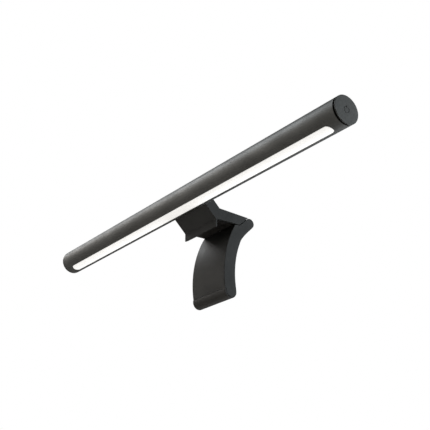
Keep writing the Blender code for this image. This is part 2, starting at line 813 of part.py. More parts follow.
def foot_outline(grow):
    """The foot that wraps the arm's lower front, or its pocket when grown."""
    start = FOOT_TOP_ANGLE - grow / ARM_TIP_RADIUS
    end = FOOT_REAR_ANGLE + grow / ARM_TIP_RADIUS
    outer = ARM_TIP_RADIUS + (2.0 * MM if grow else 0.0)
    inner = ARM_TIP_RADIUS - FOOT_THICKNESS - grow
    return arc(ARM_TIP_CENTRE, outer, start, end, 12) + arc(ARM_TIP_CENTRE, inner, end, start, 12)


def arm_sector(near_radius, far_radius, low, high, steps=14):
    return arm_arc(far_radius, low, high, steps) + arm_arc(near_radius, high, low, steps)


def arm_screw_stations(steps):
    """Screws through the rear cover, pointing from the arc centre towards the arm's front."""
    stations = []
    inset = math.radians(3.2)
    for angle in (ARM_CAVITY[0] + inset, ARM_CAVITY[1] - inset):
        for x in (-19.0 * MM, 19.0 * MM):
            direction = (0.0, -math.cos(angle), math.sin(angle))
            centre = about(HINGE_AXIS, [ARM_ARC_CENTRE])[0]
            stations.append(((x, *centre), direction, steps))
    return stations


def build_arm(hinge, black, dark, rubber, steel, brass):
    def here(points):
        return about(HINGE_AXIS, points)

    housing = prism("arm_housing", here(arm_outline()), CLAMP_HALF_WIDTH, black, hinge)
    bevel(housing, 0.3 * MM)
    low, high = ARM_CAVITY
    cavity_half = 23.9 * MM
    inner_front = ARM_FRONT_RADIUS - ARM_WALL
    cavity = arm_sector(ARM_BACK_RADIUS - 6.0 * MM, inner_front, low, high)
    boolean(housing, prism("arm_hollow", here(cavity), cavity_half))
    boolean(housing, prism("foot_pocket", here(foot_outline(GAP)), CLAMP_HALF_WIDTH + MM))

    clear = BARREL_HALF_WIDTH + GAP
    barrel_room = [(-clear, 0.0), (-clear, KNUCKLE_RADIUS + GAP)]
    barrel_room += [(clear, KNUCKLE_RADIUS + GAP), (clear, 0.0)]
    boolean(housing, turned("barrel_room", barrel_room, segments=40))
    near, far, low_side, high_side = 15.0 * MM, 28.0 * MM, 5.2 * MM, 13.0 * MM
    web_room = here([(near, low_side), (far, low_side), (far, high_side), (near, high_side)])
    boolean(housing, prism("web_room", web_room, clear))
    hole = PIN_RADIUS + 3 * GAP + 0.8 * MM
    bore = [(-27.0 * MM, 0.0), (-27.0 * MM, hole), (23.8 * MM, hole), (23.8 * MM, 0.0)]
    boolean(housing, turned("pin_bore", bore, segments=32))

    cover_far = ARM_BACK_RADIUS + ARM_COVER_THICKNESS
    trim = GAP / ARM_BACK_RADIUS
    cover = arm_sector(ARM_BACK_RADIUS, cover_far, low + trim, high - trim)
    rear_cover = prism("arm_rear_cover", here(cover), cavity_half - GAP, dark, hinge)
    weight = arm_sector(cover_far + GAP, inner_front - GAP, low + trim, high - trim)
    block = prism("counterweight", here(weight), cavity_half - GAP, steel, hinge)

    head_at = ARM_BACK_RADIUS + 0.1 * MM
    seat_at = ARM_BACK_RADIUS + 0.8 * MM
    tail_at = ARM_BACK_RADIUS + 7.5 * MM
    hole_steps = [
        (ARM_BACK_RADIUS - 3.0 * MM, 2.0 * MM),
        (seat_at + GAP, 2.0 * MM),
        (seat_at + GAP, 1.4 * MM),
        (tail_at + MM, 1.4 * MM),
    ]
    boolean(rear_cover, rods("arm_cover_holes", arm_screw_stations(hole_steps), segments=16))
    thread_steps = [(cover_far - MM, 1.4 * MM), (tail_at + MM, 1.4 * MM)]
    boolean(block, rods("counterweight_holes", arm_screw_stations(thread_steps), segments=16))
    screw_steps = [
        (head_at, 1.7 * MM),
        (seat_at, 1.7 * MM),
        (seat_at, 1.1 * MM),
        (tail_at, 1.1 * MM),
    ]
    numbered_rods("arm_screw", arm_screw_stations(screw_steps), steel, hinge)
    prism("arm_foot", here(foot_outline(0.0)), CLAMP_HALF_WIDTH - 0.05 * MM, rubber, hinge)
    build_hinge(hinge, steel, brass)


def build_hinge(hinge, steel, brass):
    pin_steps = [(0, PIN_RADIUS), (48.7 * MM, PIN_RADIUS)]
    rods("hinge_pin", [((-25.2 * MM, 0, 0), (1, 0, 0), pin_steps)], steel, hinge)
    inner, outer = PIN_RADIUS + GAP, PIN_RADIUS + 2 * GAP + 0.8 * MM
    for side, word in ((-1, "left"), (1, "right")):
        near, far = side * 16.2 * MM, side * 22.5 * MM
        profile = [(near, inner), (near, outer), (far, outer), (far, inner)]
        turned(f"hinge_bush_{word}", profile, brass, hinge, segments=24)


def build_springs(steel):
    """Two torsion springs on the pin, inside the barrel, that press the arm against the monitor."""
    axis = empty("spring_axis", HINGE_AXIS)
    coil_radius, wire, turns, per_turn = 2.5 * MM, 0.32 * MM, 6, 12
    for name, side in (("spring_left", -1), ("spring_right", 1)):
        points = []
        for n in range(turns * per_turn + 1):
            angle = 2.0 * math.pi * n / per_turn
            x = side * (4.0 * MM + 10.0 * MM * n / (turns * per_turn))
            points.append((x, coil_radius * math.cos(angle), coil_radius * math.sin(angle)))
        wire_along(name, points, wire, steel, axis)


# ---------------------------------------------------------------- whole lamp bar


def main():
    clear_scene()
    black = material("shell_dark_grey", (0.045, 0.045, 0.044), 0.42)
    dark = material("cover_black", (0.02, 0.02, 0.02), 0.55)
    rubber = material("pad_silicone", (0.018, 0.018, 0.018), 0.8)
    white = material("window_white", (0.88, 0.88, 0.86), 0.45)
    steel = material("steel", (0.55, 0.55, 0.56), 0.3, 1.0)
    brass = material("bush_brass", (0.72, 0.55, 0.25), 0.35, 1.0)
    board_white = material("board_white", (0.75, 0.77, 0.74), 0.5)
    plastic = material("part_black", (0.03, 0.03, 0.03), 0.5)

    lamp = empty("lamp_axis", TUBE_AXIS, -WINDOW_ANGLE)
    saddle_axis = empty("tilt_axis", TUBE_AXIS)
    hinge = empty("arm_hinge_axis", HINGE_AXIS)
    build_lamp(lamp, black, white, board_white, steel, plastic)
    build_saddle(saddle_axis, black, steel)
    build_clamp(black, dark, rubber, steel)
    build_arm(hinge, black, dark, rubber, steel, brass)
    build_springs(steel)


main()
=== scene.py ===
"""Looks of the monitor light bar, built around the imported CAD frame."""

import json
import math

import bmesh
import bpy
from mathutils import Matrix, Vector


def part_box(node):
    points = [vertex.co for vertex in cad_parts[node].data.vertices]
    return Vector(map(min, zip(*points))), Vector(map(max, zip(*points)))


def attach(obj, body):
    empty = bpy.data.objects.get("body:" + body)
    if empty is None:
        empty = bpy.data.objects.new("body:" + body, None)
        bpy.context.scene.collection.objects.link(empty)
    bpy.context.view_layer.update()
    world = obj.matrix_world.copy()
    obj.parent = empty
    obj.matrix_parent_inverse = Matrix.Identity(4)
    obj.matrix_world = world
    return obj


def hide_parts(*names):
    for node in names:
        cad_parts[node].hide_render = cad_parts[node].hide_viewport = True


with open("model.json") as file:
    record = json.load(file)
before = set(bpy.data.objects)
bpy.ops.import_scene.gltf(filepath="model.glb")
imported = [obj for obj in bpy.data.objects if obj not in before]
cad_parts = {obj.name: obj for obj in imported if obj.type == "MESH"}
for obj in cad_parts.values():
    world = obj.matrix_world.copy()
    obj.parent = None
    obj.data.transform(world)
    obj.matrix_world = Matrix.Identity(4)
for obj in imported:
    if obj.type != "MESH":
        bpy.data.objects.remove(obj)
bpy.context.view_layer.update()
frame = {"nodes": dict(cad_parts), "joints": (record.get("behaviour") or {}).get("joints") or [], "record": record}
nodes = frame["nodes"]

MM = 0.001
GAP = 0.3 * MM

# Sizes of the design, repeated for the finer meshes
TUBE_RADIUS = 12.66 * MM
TUBE_WALL = 1.2 * MM
TUBE_LEFT = -221.3 * MM
TUBE_RIGHT = 221.75 * MM
BAR_HALF_LENGTH = 224.2 * MM
CAP_THICKNESS = 2.6 * MM
BUTTON_RIM = 0.7 * MM
WINDOW_ANGLE = math.radians(16.1)
WINDOW_HALF_WIDTH = 4.63 * MM
WINDOW_HALF_LENGTH = 211.0 * MM
INLET_X = 38.0 * MM
INLET_HEIGHT = 4.4 * MM
INLET_HALF_LENGTH = 5.2 * MM
INLET_HALF_WIDTH = 2.3 * MM

CLAMP_HALF_WIDTH = 25.75 * MM
CHEEK_INNER = 23.0 * MM
SEAT_RADIUS = TUBE_RADIUS + GAP
SADDLE_RADIUS = 16.2 * MM
SLAB_ANGLE = math.radians(45.0)
SLAB_LOWER = 0.64 * MM
SLAB_UPPER = 12.02 * MM
SLAB_WALL = 1.9 * MM
SADDLE_LOW = math.radians(-20.0)
SADDLE_PIN_RADIUS = 14.5 * MM
SADDLE_PIN_ANGLE = math.radians(-13.0)
SADDLE_PIN = 0.8 * MM
TILT_HALF_RANGE = math.radians(12.5)
PLATE_FRONT_TOP = (-8.75 * MM, 12.2 * MM)
PLATE_REAR_TOP = (25.8 * MM, 10.12 * MM)
PLATE_REAR_BOTTOM = (15.4 * MM, 0.8 * MM)
LIP_FRONT = -13.2 * MM
LIP_BACK = -12.0 * MM
LIP_BOTTOM = -7.3 * MM
COVER_TOP = 2.4 * MM
COVER_FRONT = -10.5 * MM
COVER_REAR = 12.8 * MM
COVER_SCREW_Y = 10.9 * MM

KNUCKLE_RADIUS = 5.0 * MM
KNUCKLE_GAP = 0.35 * MM
BARREL_HALF_WIDTH = 15.4 * MM
PIN_RADIUS = 1.5 * MM
ARM_ARC_CENTRE = (95.9 * MM, -51.0 * MM)
ARM_FRONT_RADIUS = 100.0 * MM
ARM_BACK_RADIUS = 87.0 * MM
ARM_TIP_CENTRE = (3.4 * MM, -67.9 * MM)
ARM_TIP_RADIUS = 6.8 * MM
ARM_WALL = 2.0 * MM
ARM_COVER_THICKNESS = 1.6 * MM
ARM_CAVITY = (math.radians(-6.5), math.radians(26.0))
FOOT_THICKNESS = 1.5 * MM
FOOT_TOP_ANGLE = math.radians(-196.0)
FOOT_REAR_ANGLE = math.radians(-92.0)

ARM_HOLLOW_HALF_WIDTH = 23.9 * MM
ARM_SCREW_SEAT = ARM_BACK_RADIUS + 0.8 * MM
ARM_SCREW_X = 19.0 * MM
COVER_SCREW_X = 18.0 * MM

# Screws: where the head, its seat and the tail come along the screw, then head and shank radius
COVER_SCREW = (0.1 * MM, 0.7 * MM, 3.4 * MM, 1.5 * MM, 0.9 * MM)
ARM_SCREW = (ARM_BACK_RADIUS + 0.1 * MM, ARM_SCREW_SEAT, ARM_BACK_RADIUS + 7.5 * MM, 1.7 * MM, 1.1 * MM)

# How finely the round pieces and the edges are made
ROUND_SEGMENTS = 192
EDGE_RADIUS = 0.3 * MM

# Colours and light
TUBE_COLOUR = (0.118, 0.118, 0.116)
SHELL_COLOUR = (0.009, 0.009, 0.009)
COVER_COLOUR = (0.022, 0.022, 0.022)
SILICONE_COLOUR = (0.016, 0.0135, 0.012)
WINDOW_GLOW = 0.62
WHITE = (1.0, 1.0, 1.0)
WORLD_STRENGTH = 0.004
FLOOR_HEIGHT = -0.6
FLOOR_HALF_SIZE = 60.0
FLOOR_SEEN_GLOW = 0.66
SMALL_BOX = (0.55, 0.55)
LARGE_BOX = (1.3, 1.3)
FAR_BOX = (1.38, 1.38)
FAR_DISTANCE = 5.0
LIGHT_TARGET = Vector((0.05, -0.02, 0.0))

CAMERA_LENS = 71.55
CAMERA_PLACE = (0.62901, -0.46291, -0.30107)
CAMERA_RIGHT = Vector((0.59501, 0.80370, -0.00488))
CAMERA_UP = Vector((0.30488, -0.22008, 0.92661))

joints = {joint["name"]: joint for joint in frame["joints"]}
tube_axis = Vector(joints["lamp_tilt"]["pos_m"])
hinge_axis = Vector(joints["arm_open"]["pos_m"])
lamp_place = Matrix.Translation(tube_axis) @ Matrix.Rotation(-WINDOW_ANGLE, 4, "X")
TUBE_CENTRE = (tube_axis.y, tube_axis.z)
HINGE_CENTRE = (hinge_axis.y, hinge_axis.z)


# ---------------------------------------------------------------- materials


class Graph:
    """A small helper that adds shader nodes and links to one material."""

    def __init__(self, name):
        self.material = bpy.data.materials.new(name)
        self.material.use_nodes = True
        self.tree = self.material.node_tree
        self.shader = self.tree.nodes["Principled BSDF"]
        coordinates = self.tree.nodes.new("ShaderNodeTexCoord")
        self.place = coordinates.outputs["Object"]

    def noise(self, scale, detail=2.0, roughness=0.5, stretch=(1.0, 1.0, 1.0)):
        """Noise through the piece's own space, at scale waves a metre."""
        source = self.place
        if stretch != (1.0, 1.0, 1.0):
            mapping = self.tree.nodes.new("ShaderNodeMapping")
            mapping.inputs["Scale"].default_value = stretch
            self.tree.links.new(self.place, mapping.inputs["Vector"])
            source = mapping.outputs["Vector"]
        made = self.tree.nodes.new("ShaderNodeTexNoise")
        made.inputs["Scale"].default_value = scale
        made.inputs["Detail"].default_value = detail
        made.inputs["Roughness"].default_value = roughness
        self.tree.links.new(source, made.inputs["Vector"])
        return made.outputs["Fac"]

    def ramp(self, value, low, high, at=(0.0, 1.0)):
        """A colour between low and high, as value runs between the two stops."""
        made = self.tree.nodes.new("ShaderNodeValToRGB")
        first, last = made.color_ramp.elements
        first.position, last.position = at
        first.color, last.color = (*low, 1.0), (*high, 1.0)
        self.tree.links.new(value, made.inputs["Fac"])
        return made.outputs["Color"]

    def span(self, value, low, high, at=(0.0, 1.0)):
        """A number between low and high, as value runs between the two stops."""
        made = self.tree.nodes.new("ShaderNodeMapRange")
        made.inputs["From Min"].default_value = at[0]
        made.inputs["From Max"].default_value = at[1]
        made.inputs["To Min"].default_value = low
        made.inputs["To Max"].default_value = high
        self.tree.links.new(value, made.inputs["Value"])
        return made.outputs["Result"]

    def math(self, operation, first, second):
        made = self.tree.nodes.new("ShaderNodeMath")
        made.operation = operation
        for socket, value in zip(made.inputs, (first, second)):
            if isinstance(value, (int, float)):
                socket.default_value = value
            else:
                self.tree.links.new(value, socket)
        return made.outputs["Value"]

    def bump(self, height, distance, strength=1.0):
        made = self.tree.nodes.new("ShaderNodeBump")
        made.inputs["Distance"].default_value = distance
        made.inputs["Strength"].default_value = strength
        self.tree.links.new(height, made.inputs["Height"])
        self.tree.links.new(made.outputs["Normal"], self.shader.inputs["Normal"])

    def feed(self, socket, value):
        """Links an output to one of the shader's sockets."""
        self.tree.links.new(value, self.shader.inputs[socket])

    def fix(self, socket, value):
        """Sets a constant on one of the shader's sockets."""
        self.shader.inputs[socket].default_value = value


def shade(colour, factor):
    """The same colour, lighter or darker."""
    return tuple(min(1.0, part * factor) for part in colour)


def satin(name, colour, roughness, grain, depth, metallic=0.0, specular=0.5):
    """A moulded or blasted surface: fine grain, faint mottling, rubbed patches and uneven gloss."""
    g = Graph(name)
    mottle = g.noise(38.0, 4.0, 0.6)
    g.feed("Base Color", g.ramp(mottle, shade(colour, 0.92), shade(colour, 1.08), (0.35, 0.65)))
    fine = g.noise(grain, 2.0, 0.55)
    rubbed = g.noise(9.0, 5.0, 0.62)
    uneven = g.span(g.noise(70.0, 3.0, 0.55), roughness - 0.03, roughness + 0.03, (0.3, 0.7))
    polish = g.span(rubbed, 0.0, -0.05, (0.5, 0.72))
    g.feed("Roughness", g.math("ADD", uneven, polish))
    g.bump(fine, depth, 0.6)
    g.fix("Metallic", metallic)
    g.fix("Specular IOR Level", specular)
    return g.material


def spun_disc(name, colour, roughness):
    """The button's face: fine turned rings about the tube's axis under the same blasted finish."""
    g = Graph(name)
    mottle = g.noise(300.0, 4.0, 0.6)
    g.feed("Base Color", g.ramp(mottle, shade(colour, 0.9), shade(colour, 1.1), (0.35, 0.65)))
    centred = g.tree.nodes.new("ShaderNodeMapping")
    centred.inputs["Location"].default_value = -tube_axis
    g.tree.links.new(g.place, centred.inputs["Vector"])
    rings = g.tree.nodes.new("ShaderNodeTexWave")
    rings.wave_type = "RINGS"
    rings.rings_direction = "X"
    rings.inputs["Scale"].default_value = 420.0
    rings.inputs["Distortion"].default_value = 1.5
    rings.inputs["Detail Scale"].default_value = 3.0
    g.tree.links.new(centred.outputs["Vector"], rings.inputs["Vector"])
    grain = g.noise(3800.0, 2.0, 0.55)
    g.bump(g.math("ADD", rings.outputs["Fac"], grain), 0.012 * MM, 0.5)
    g.feed("Roughness", g.span(rings.outputs["Fac"], roughness - 0.03, roughness + 0.03))
    g.fix("Metallic", 1.0)
    return g.material


def diffuser_plastic():
    """Milky, faintly beaded plastic, lit from behind."""
    g = Graph("window_diffuser")
    bead = g.noise(1800.0, 1.0)
    cloudy = g.noise(90.0, 3.0)
    g.feed("Base Color", g.ramp(cloudy, (0.78, 0.775, 0.765), (0.84, 0.835, 0.825), (0.3, 0.7)))
    g.feed("Roughness", g.span(bead, 0.38, 0.5))
    g.bump(bead, 0.02 * MM, 0.4)
    g.fix("Emission Color", (1.0, 0.985, 0.965, 1.0))
    g.fix("Emission Strength", WINDOW_GLOW)
    return g.material


def metal(name, colour, roughness, stretch=(1.0, 60.0, 60.0)):
    """Drawn or turned metal with streaks along one direction."""
    g = Graph(name)
    streaks = g.noise(25.0, 6.0, 0.6, stretch)
    g.feed("Base Color", g.ramp(streaks, shade(colour, 0.86), shade(colour, 1.08), (0.3, 0.7)))
    g.feed("Roughness", g.span(streaks, roughness - 0.06, roughness + 0.1, (0.3, 0.7)))
    g.bump(streaks, 0.01 * MM, 0.5)
    g.fix("Metallic", 1.0)
    return g.material


def plain_grained(name, colour, roughness, scale=400.0):
    """The simple grained look of the pieces inside."""
    g = Graph(name)
    grain = g.noise(scale, 3.0)
    g.feed("Base Color", g.ramp(grain, shade(colour, 0.9), shade(colour, 1.1), (0.3, 0.7)))
    g.feed("Roughness", g.span(grain, roughness - 0.05, roughness + 0.05))
    g.bump(grain, 0.02 * MM, 0.4)
    return g.material


looks = {
    "shell_dark_grey": satin("shell_grain", SHELL_COLOUR, 0.60, 2600.0, 0.02 * MM, specular=0.5),
    "tube_anodised": satin("tube_blasted", TUBE_COLOUR, 0.57, 3800.0, 0.005 * MM, 1.0),
    "cover_black": satin("cover_grain", COVER_COLOUR, 0.6, 2400.0, 0.02 * MM),
    "pad_silicone": satin("silicone_matte", SILICONE_COLOUR, 0.68, 1800.0, 0.015 * MM, specular=0.6),
    "window_white": diffuser_plastic(),
    "reflector_white": plain_grained("reflector_plastic", (0.8, 0.8, 0.79), 0.4),
    "steel": metal("turned_steel", (0.42, 0.42, 0.43), 0.36),
    "rail_aluminium": metal("extruded_aluminium", (0.72, 0.73, 0.75), 0.35, (0.2, 80.0, 80.0)),
    "bush_brass": metal("bush_brass", (0.75, 0.56, 0.26), 0.3),
    "board_white": plain_grained("board_mask", (0.7, 0.72, 0.7), 0.45),
    "part_black": plain_grained("moulded_black", (0.03, 0.03, 0.03), 0.45),
}
button_look = spun_disc("button_spun", shade(TUBE_COLOUR, 0.79), 0.57)

for entry in frame["record"]["subparts"]:
    node = nodes[entry["node"]]
    node.data.materials.clear()
    node.data.materials.append(looks[entry["material_slot"]])


# ---------------------------------------------------------------- mesh helpers


def object_from(name, bm, place=None):
    """Turns an edit mesh into an object of the scene, moved by the matrix place if there is one."""
    bmesh.ops.remove_doubles(bm, verts=bm.verts, dist=1e-7)
    bmesh.ops.recalc_face_normals(bm, faces=bm.faces)
    mesh = bpy.data.meshes.new(name)
    bm.to_mesh(mesh)
    bm.free()
    if place:
        mesh.transform(place)
    made = bpy.data.objects.new(name, mesh)
    bpy.context.scene.collection.objects.link(made)
    return made


def prism(name, outline, half_width, centre_x=0.0):
    """A closed outline of (y, z) points carried half_width to both sides of centre_x."""
    bm = bmesh.new()
    face = bm.faces.new([bm.verts.new((centre_x - half_width, y, z)) for y, z in outline])
    moved = bmesh.ops.extrude_face_region(bm, geom=[face])["geom"]
    far = [v for v in moved if isinstance(v, bmesh.types.BMVert)]
    bmesh.ops.translate(bm, verts=far, vec=(2.0 * half_width, 0.0, 0.0))
    return object_from(name, bm)


def turned(name, profile, segments=ROUND_SEGMENTS, place=None):
    """A closed profile of (x, radius) points turned about X, then put in place."""
    bm = bmesh.new()
    rings = []
    for x, radius in profile:
        if radius == 0.0:
            rings.append([bm.verts.new((x, 0.0, 0.0))] * segments)
            continue
        angles = [2.0 * math.pi * step / segments for step in range(segments)]
        rings.append([bm.verts.new((x, radius * math.cos(a), radius * math.sin(a))) for a in angles])
    for here, there in zip(rings, rings[1:] + rings[:1]):
        for step in range(segments):
            after = (step + 1) % segments
            corners = dict.fromkeys([here[step], here[after], there[after], there[step]])
            if len(corners) > 2:
                bm.faces.new(corners)
    return object_from(name, bm, place)


def block(name, low, high):
    bm = bmesh.new()
    size = [b - a for a, b in zip(low, high)]
    middle = [(a + b) / 2 for a, b in zip(low, high)]
    bmesh.ops.create_cube(bm, size=1.0, matrix=Matrix.Translation(middle) @ Matrix.Diagonal((*size, 1.0)))
    return object_from(name, bm)


def along(start, direction):
    """Places a piece that was turned about X so that it starts at a point and runs in a direction."""
    turn = Vector((1.0, 0.0, 0.0)).rotation_difference(Vector(direction)).to_matrix().to_4x4()
    return Matrix.Translation(start) @ turn


def bevel(target, width=EDGE_RADIUS, segments=3, above=25.0):
    """Queues a rounding of every edge sharper than above, in degrees."""
    step = target.modifiers.new("edge", "BEVEL")
    step.width = width
    step.segments = segments
    step.limit_method = "ANGLE"
    step.angle_limit = math.radians(above)


def boolean(target, tool, operation="DIFFERENCE"):
    """Queues a cut or a join, which finish_mesh applies."""
    step = target.modifiers.new(tool.name, "BOOLEAN")
    step.operation = operation
    step.solver = "EXACT"
    step.object = tool
    tool.hide_render = True


def finish_mesh(target, sharp_above=38.0):
    """Applies the modifiers, removes the tools and sets clean normals."""
    tools = [step.object for step in target.modifiers if step.type == "BOOLEAN"]
    graph = bpy.context.evaluated_depsgraph_get()
    rough = target.data
    target.data = bpy.data.meshes.new_from_object(target.evaluated_get(graph))
    target.modifiers.clear()
    bpy.data.meshes.remove(rough)
    for tool in tools:
        bpy.data.objects.remove(tool, do_unlink=True)
    bm = bmesh.new()
    bm.from_mesh(target.data)
    bmesh.ops.remove_doubles(bm, verts=bm.verts, dist=1e-6)
    bmesh.ops.dissolve_degenerate(bm, edges=bm.edges, dist=1e-6)
    bm.to_mesh(target.data)
    bm.free()
    target.data.shade_smooth()
    target.data.set_sharp_from_angle(angle=math.radians(sharp_above))
    weigh = target.modifiers.new("normals", "WEIGHTED_NORMAL")
    weigh.keep_sharp = True
    return target


def dress(piece, body, slot, *replaced, look=None):
    """Gives a piece its material, looked up by slot unless a look is given, puts it on its moving body and hides
    the nodes it stands for.
    """
    piece.data.materials.clear()
    piece.data.materials.append(look or looks[slot])
    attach(piece, body)
    if replaced:
        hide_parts(*replaced)
    return piece


def arc(centre, radius, start, end, steps):
    """Points (y, z) on an arc; angles in radians from +Y towards +Z."""
    angles = [start + (end - start) * n / steps for n in range(steps + 1)]
    return [(centre[0] + radius * math.cos(a), centre[1] + radius * math.sin(a)) for a in angles]


def bezier(start, handle_1, handle_2, end, steps):
    """Inner points of a cubic curve between start and end."""
    points = []
    for n in range(1, steps):
        t = n / steps
        weights = ((1 - t) ** 3, 3 * t * (1 - t) ** 2, 3 * t * t * (1 - t), t**3)
        corners = (start, handle_1, handle_2, end)
        points.append(tuple(sum(w * p[k] for w, p in zip(weights, corners)) for k in (0, 1)))
    return points


def fillet(x, radius, width, inward, steps=5):
    """Profile points (x, radius) that round the outer edge of a turned piece whose end is at x."""
    points = []
    for n in range(steps + 1):
        a = math.pi / 2 * n / steps
        points.append((x + inward * width * (1 - math.sin(a)), radius - width * (1 - math.cos(a))))
    return points


def tangent_angle(point, centre, radius):
    """Where, about centre, a line from point touches the upper left of a circle (radians from +Y)."""
    across, up = centre[0] - point[0], centre[1] - point[1]
    slope = math.atan2(up, across) + math.asin(radius / math.hypot(across, up))
    return slope + math.pi / 2


# ---------------------------------------------------------------- lamp


class Slot:
    """A hole with round ends through the tube wall, cut straight along one direction.

    Its outline is followed by an angle that runs over each round end, from -90 to 90 degrees.
    Its room is the range of turns around the tube, in degrees, that it keeps for itself.
    """

    def __init__(self, centre_x, half_length, half_width, steps, through, room):
        self.centre_x = centre_x
        self.reach = half_length - half_width
        self.half_width = half_width
        self.angles = [math.pi * (n / steps - 0.5) for n in range(steps + 1)]
        self.through = through
        self.room = [math.radians(turn) for turn in room]

    def at(self, angle, side, grow, radius):
        across = (self.half_width + grow) * math.sin(angle)
        x = self.centre_x + side * (self.reach + (self.half_width + grow) * math.cos(angle))
        return (x, *self.through(across, radius))


def straight_down(across, radius):
    """Where, in (y, z), the window's direction meets the surface of that radius."""
    return across, -math.sqrt(radius**2 - across**2)


def straight_back(across, radius):
    """Where, in (y, z), the inlet's direction meets the surface of that radius."""
    height = INLET_HEIGHT + across
    return math.sqrt(radius**2 - height**2), height


window = Slot(0.0, WINDOW_HALF_LENGTH, WINDOW_HALF_WIDTH, 40, straight_down, (-25.5, 25.5))
inlet = Slot(INLET_X, INLET_HALF_LENGTH, INLET_HALF_WIDTH, 24, straight_back, (96.0, 128.0))


def turn_of(point):
    """Angle of a point around the tube, from straight down towards the back."""
    return math.atan2(point[1], -point[2])


class Skin:
    """One round surface of the tube, made of straight strips along it, with the slots left open."""

    def __init__(self, bm, radius, left, right, grow):
        self.bm = bm
        self.rails = []
        for slot in (window, inlet):
            for angle in slot.angles:
                mouth = [bm.verts.new(slot.at(angle, side, grow, radius)) for side in (-1, 1)]
                self.rails.append((turn_of(mouth[0].co), slot, mouth))
        for step in range(ROUND_SEGMENTS):
            turn = 2.0 * math.pi * step / ROUND_SEGMENTS - math.pi / 2
            if not any(slot.room[0] < turn < slot.room[1] for slot in (window, inlet)):
                self.rails.append((turn, None, []))
        self.rails.sort(key=lambda rail: rail[0])
        self.left = self.ring(left, radius)
        self.right = self.ring(right, radius)
        self.fill()

    def ring(self, x, radius):
        return [
            self.bm.verts.new((x, radius * math.sin(turn), -radius * math.cos(turn)))
            for turn, slot, mouth in self.rails
        ]

    def fill(self):
        count = len(self.rails)
        for n in range(count):
            after = (n + 1) % count
            here, there = self.rails[n], self.rails[after]
            ends = (self.left[n], self.left[after], self.right[n], self.right[after])
            if here[1] and here[1] is there[1]:
                self.bm.faces.new((ends[0], here[2][0], there[2][0], ends[1]))
                self.bm.faces.new((here[2][1], ends[2], ends[3], there[2][1]))
            else:
                self.bm.faces.new((ends[0], *here[2], ends[2], ends[3], *reversed(there[2]), ends[1]))

    def mouth(self, slot):
        """The slot's edge as one closed loop."""
        found = [rail[2] for rail in self.rails if rail[1] is slot]
        return [pair[1] for pair in found] + [pair[0] for pair in reversed(found)]


def bridge(bm, here, there):
    """Fills the band between two closed loops of as many points."""
    count = len(here)
    for n in range(count):
        after = (n + 1) % count
        bm.faces.new((here[n], here[after], there[after], there[n]))


def slot_loop(bm, slot, grow, radius):
    """The slot's closed outline at a radius, in the order in which the skin's mouth runs."""
    angles = sorted(slot.angles, key=lambda a: turn_of(slot.at(a, 1, grow, radius)))
    right = [bm.verts.new(slot.at(a, 1, grow, radius)) for a in angles]
    left = [bm.verts.new(slot.at(a, -1, grow, radius)) for a in reversed(angles)]
    return right + left


def quarter(width, steps=3):
    """(how far out, how far down) along a rounded edge, from the surface to the wall."""
    turns = [math.pi / 2 * n / steps for n in range(steps + 1)]
    return [(width * (1 - math.sin(a)), width * (1 - math.cos(a))) for a in turns]


def fine_tube():
    """The lamp tube as one closed shell with rounded slot and end edges."""
    bm = bmesh.new()
    edge, support = 0.2 * MM, 0.15 * MM
    inner_radius = TUBE_RADIUS - TUBE_WALL
    outer = Skin(bm, TUBE_RADIUS, TUBE_LEFT + edge + support, TUBE_RIGHT - edge - support, edge + support)
    inner = Skin(bm, inner_radius, TUBE_LEFT, TUBE_RIGHT, 0.0)
    for slot in (window, inlet):
        last = outer.mouth(slot)
        for out, down in quarter(edge):
            loop = slot_loop(bm, slot, out, TUBE_RADIUS - down)
            bridge(bm, last, loop)
            last = loop
        bridge(bm, last, inner.mouth(slot))
    for skin_ring, inner_ring, end, inward in (
        (outer.left, inner.left, TUBE_LEFT, 1.0),
        (outer.right, inner.right, TUBE_RIGHT, -1.0),
    ):
        last = skin_ring
        for out, down in quarter(edge):
            ring = outer.ring(end + inward * out, TUBE_RADIUS - down)
            bridge(bm, last, ring)
            last = ring
        bridge(bm, last, inner_ring)
    return object_from("tube_shell", bm, lamp_place)


def fine_diffuser():
    """The window's cover: a thin curved plate with round ends, just below the tube's surface."""
    bm = bmesh.new()
    gap, edge, support = 0.2 * MM, 0.15 * MM, 0.15 * MM
    face_radius = TUBE_RADIUS - 0.05 * MM
    front = slot_loop(bm, window, -gap - edge - support, face_radius)
    last = front
    for out, down in quarter(edge):
        loop = slot_loop(bm, window, -gap - out, face_radius - down)
        bridge(bm, last, loop)
        last = loop
    back = slot_loop(bm, window, -gap, TUBE_RADIUS - TUBE_WALL)
    bridge(bm, last, back)
    for loop in (front, back):
        half = len(loop) // 2
        right, left = loop[:half], list(reversed(loop[half:]))
        for n in range(half - 1):
            bm.faces.new((left[n], right[n], right[n + 1], left[n + 1]))
    return object_from("window_diffuser", bm, lamp_place)


def fine_left_cap():
    """The plain cap that plugs the tube's left end."""
    outer, plug, edge = -BAR_HALF_LENGTH, TUBE_RADIUS - TUBE_WALL - GAP, 0.5 * MM
    shoulder = outer + CAP_THICKNESS
    profile = [(outer, 0.0), (outer, TUBE_RADIUS - 2.0 * edge)]
    profile += reversed(fillet(outer, TUBE_RADIUS, edge, 1.0))
    profile += [
        (shoulder - 0.1 * MM, TUBE_RADIUS),
        (shoulder, TUBE_RADIUS - 0.1 * MM),
        (shoulder, plug),
        (shoulder + 5.0 * MM, plug),
        (shoulder + 5.0 * MM, plug - 1.4 * MM),
        (shoulder, plug - 1.4 * MM),
        (shoulder, 0.0),
    ]
    return finish_mesh(turned("left_cap_shell", profile, place=lamp_place))


